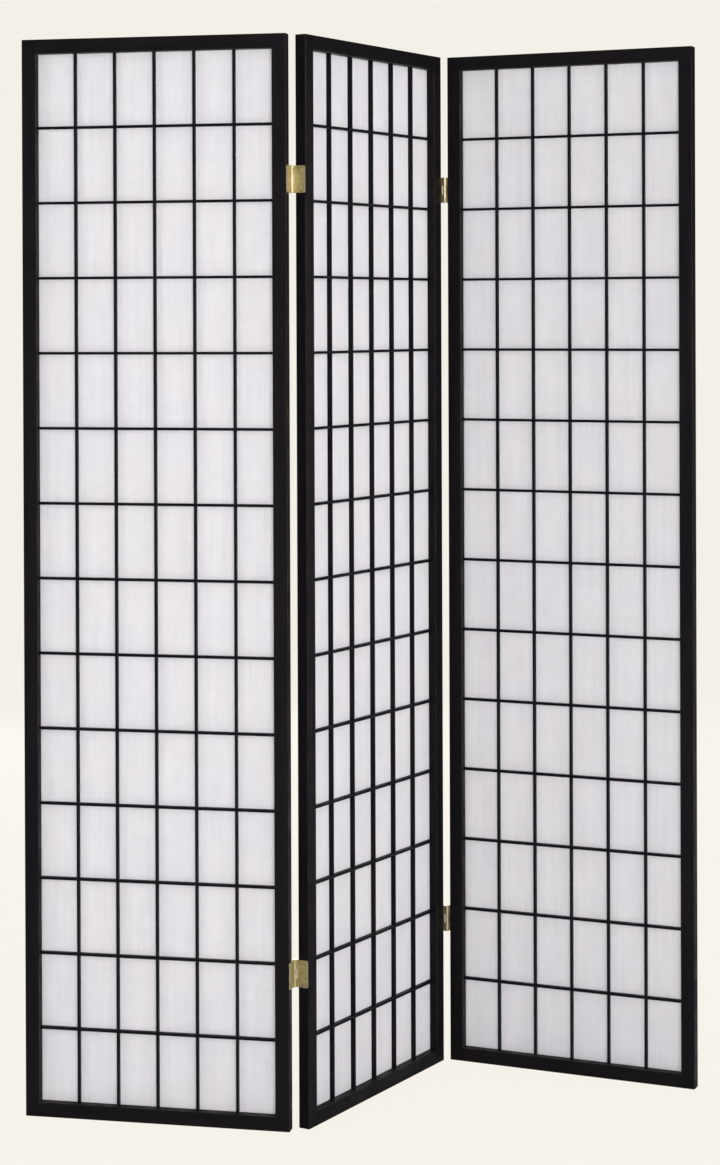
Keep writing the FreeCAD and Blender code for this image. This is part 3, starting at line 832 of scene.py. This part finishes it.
def ground_disc(radius, rings=24, spokes=96):
    """Vertices and faces of a flat disc at the floor's level.

    A point's distance from the middle is radius * t squared with t even from 0 to 1, so the rings
    are close under the screen. The first ring is joined to a single middle point.
    """
    t = np.arange(1, rings + 1) / rings
    turn = np.arange(spokes) / spokes * 2 * math.pi
    ring = np.stack([np.cos(turn), np.sin(turn), np.zeros(spokes)], axis=-1)
    rounds = radius * t[:, None, None] ** 2 * ring
    vertices = np.concatenate([[[0.0, 0.0, 0.0]], rounds.reshape(-1, 3)])
    index = 1 + np.arange(rings * spokes).reshape(rings, spokes)
    after = np.roll(index, -1, axis=1)
    squares = np.stack([index[:-1], index[1:], after[1:], after[:-1]], axis=-1).reshape(-1, 4)
    middle = np.stack([np.zeros(spokes, int), index[0], after[0]], axis=-1)
    return vertices, middle.tolist() + squares.tolist()


def ground_material(settings):
    """Pale floor. To the camera it mostly glows in the background's colour and takes faint shadows.

    Far from the lights the sky alone lights it: by 2/3 of its brightness straight above, the mean
    of a sky that brightens evenly with the sine of the height, weighted by that sine. The glow
    makes up the rest of the background's colour there, so no horizon shows. Reflections meet a
    darker floor, and a darker sky, which keeps the lacquer black.
    """
    material, tree = new_material("pale ground")
    lit = settings.bounce * settings.sky * 2 / 3
    share = settings.shadow_share
    grey = (settings.bounce,) * 3
    glow = [(part - share * lit) / (1 - share) for part in settings.ground_colour]
    matt = add_node(tree, "ShaderNodeBsdfDiffuse", {"Color": grey}).outputs[0]
    glowing = add_node(tree, "ShaderNodeEmission", {"Color": glow}).outputs[0]
    seen = add_node(tree, "ShaderNodeMixShader", {0: share, 1: glowing, 2: matt}).outputs[0]
    mirrored = [part * settings.mirrored_floor for part in grey]
    dark = add_node(tree, "ShaderNodeBsdfDiffuse", {"Color": mirrored}).outputs[0]
    path = add_node(tree, "ShaderNodeLightPath").outputs
    other = add_node(
        tree, "ShaderNodeMixShader", {0: path["Is Glossy Ray"], 1: matt, 2: dark}).outputs[0]
    show(tree, add_node(
        tree, "ShaderNodeMixShader", {0: path["Is Camera Ray"], 1: other, 2: seen}).outputs[0])
    return material


def make_sky(settings):
    """Soft light that brightens with height, behind which the camera sees the ground's colour."""
    world = bpy.data.worlds.new("soft sky")
    world.use_nodes = True
    tree = world.node_tree
    tree.nodes.clear()
    way = add_node(tree, "ShaderNodeTexCoord").outputs["Generated"]
    height = add_node(tree, "ShaderNodeSeparateXYZ", {0: way}).outputs["Z"]
    path = add_node(tree, "ShaderNodeLightPath").outputs
    dimmed = settings.sky * settings.mirrored_sky
    seen = eased(tree, path["Is Glossy Ray"], 0.0, 1.0, settings.sky, dimmed)
    strength = maths(tree, "MULTIPLY", maths(tree, "MAXIMUM", height, 0.0), seen)
    soft = add_node(tree, "ShaderNodeBackground", {"Color": (1, 1, 1), "Strength": strength})
    plain = add_node(tree, "ShaderNodeBackground", {"Color": settings.ground_colour})
    both = add_node(tree, "ShaderNodeMixShader", {
        0: path["Is Camera Ray"], 1: soft.outputs[0], 2: plain.outputs[0]})
    add_node(tree, "ShaderNodeOutputWorld", {"Surface": both.outputs[0]})
    bpy.context.scene.world = world


def add_softbox(name, azimuth, elevation, side, power):
    """A square area light that faces the screen's middle from LIGHT_DISTANCE, unseen by the camera.

    Its azimuth is in degrees from the camera's side, growing to the right, and its elevation in
    degrees from level.
    """
    data = bpy.data.lights.new(name, "AREA")
    data.shape = "SQUARE"
    data.size = side
    data.energy = power
    light = bpy.data.objects.new(name, data)
    light.matrix_world = (
        Matrix.Translation(LIT_POINT)
        @ Matrix.Rotation(math.radians(azimuth), 4, "Z")
        @ Matrix.Rotation(math.radians(90 - elevation), 4, "X")
        @ Matrix.Translation((0.0, 0.0, LIGHT_DISTANCE)))
    light.visible_camera = False
    bpy.context.scene.collection.objects.link(light)


def add_camera(settings):
    """The camera, level but for a slight pitch and roll, with its lens shifted down."""
    data = bpy.data.cameras.new("camera")
    data.lens = settings.focal_length
    data.shift_y = settings.lens_shift
    data.clip_end = 2 * settings.ground_radius
    camera = bpy.data.objects.new("camera", data)
    camera.matrix_world = (
        Matrix.Translation(settings.camera_place)
        @ Matrix.Rotation(settings.camera_yaw, 4, "Z")
        @ Matrix.Rotation(math.radians(90) + settings.camera_pitch, 4, "X")
        @ Matrix.Rotation(settings.camera_roll, 4, "Z"))
    bpy.context.scene.collection.objects.link(camera)
    bpy.context.scene.camera = camera


class SHOJI_OT_set_stage(Operator):
    """Lays the pale floor and sets up the sky, the lights and the camera"""

    bl_idname = "shoji.set_stage"
    bl_label = "Set the Stage"
    bl_options = {"REGISTER", "UNDO"}

    def execute(self, context):
        settings = context.scene.shoji_stage
        vertices, faces = ground_disc(settings.ground_radius)
        new_piece("ground", vertices, faces, ground_material(settings))
        make_sky(settings)
        for name, azimuth, elevation, side in SOFTBOXES:
            power = getattr(settings, name + "_power")
            add_softbox(name + " light", azimuth, elevation, side, power)
        add_camera(settings)
        context.scene.view_settings.view_transform = "Standard"
        return {"FINISHED"}


# ---------------------------------------------------------------------------------------------
# Add-on


OPERATORS = (
    SHOJI_OT_lacquer_frames,
    SHOJI_OT_lacquer_lattices,
    SHOJI_OT_lacquer_beads,
    SHOJI_OT_make_papers,
    SHOJI_OT_polish_hinges,
    SHOJI_OT_polish_screws,
    SHOJI_OT_set_stage,
)
SETTINGS = {
    "shoji_lacquer": LacquerSettings,
    "shoji_paper": PaperSettings,
    "shoji_brass": BrassSettings,
    "shoji_stage": StageSettings,
}


class SHOJI_PT_screen(Panel):
    """Buttons for each step, with the settings below them"""

    bl_label = "Shoji Screen"
    bl_idname = "SHOJI_PT_screen"
    bl_space_type = "VIEW_3D"
    bl_region_type = "UI"
    bl_category = "Shoji"

    def draw(self, context):
        for operator in OPERATORS:
            self.layout.operator(operator.bl_idname)
        for name, group in SETTINGS.items():
            box = self.layout.box()
            for label in group.__annotations__:
                box.prop(getattr(context.scene, name), label)


CLASSES = (*SETTINGS.values(), *OPERATORS, SHOJI_PT_screen)


def register():
    """Makes the settings, the operators and the panel known."""
    for new_class in CLASSES:
        bpy.utils.register_class(new_class)
    for name, group in SETTINGS.items():
        setattr(bpy.types.Scene, name, PointerProperty(type=group))


def unregister():
    """Takes the panel, the operators and the settings away again."""
    for name in SETTINGS:
        delattr(bpy.types.Scene, name)
    for old_class in reversed(CLASSES):
        bpy.utils.unregister_class(old_class)


def main():
    """Finishes the screen step by step."""
    register()
    bpy.ops.shoji.lacquer_frames()
    bpy.ops.shoji.lacquer_lattices()
    bpy.ops.shoji.lacquer_beads()
    bpy.ops.shoji.make_papers()
    bpy.ops.shoji.polish_hinges()
    bpy.ops.shoji.polish_screws()
    bpy.ops.shoji.set_stage()


if __name__ == "__main__":
    main()
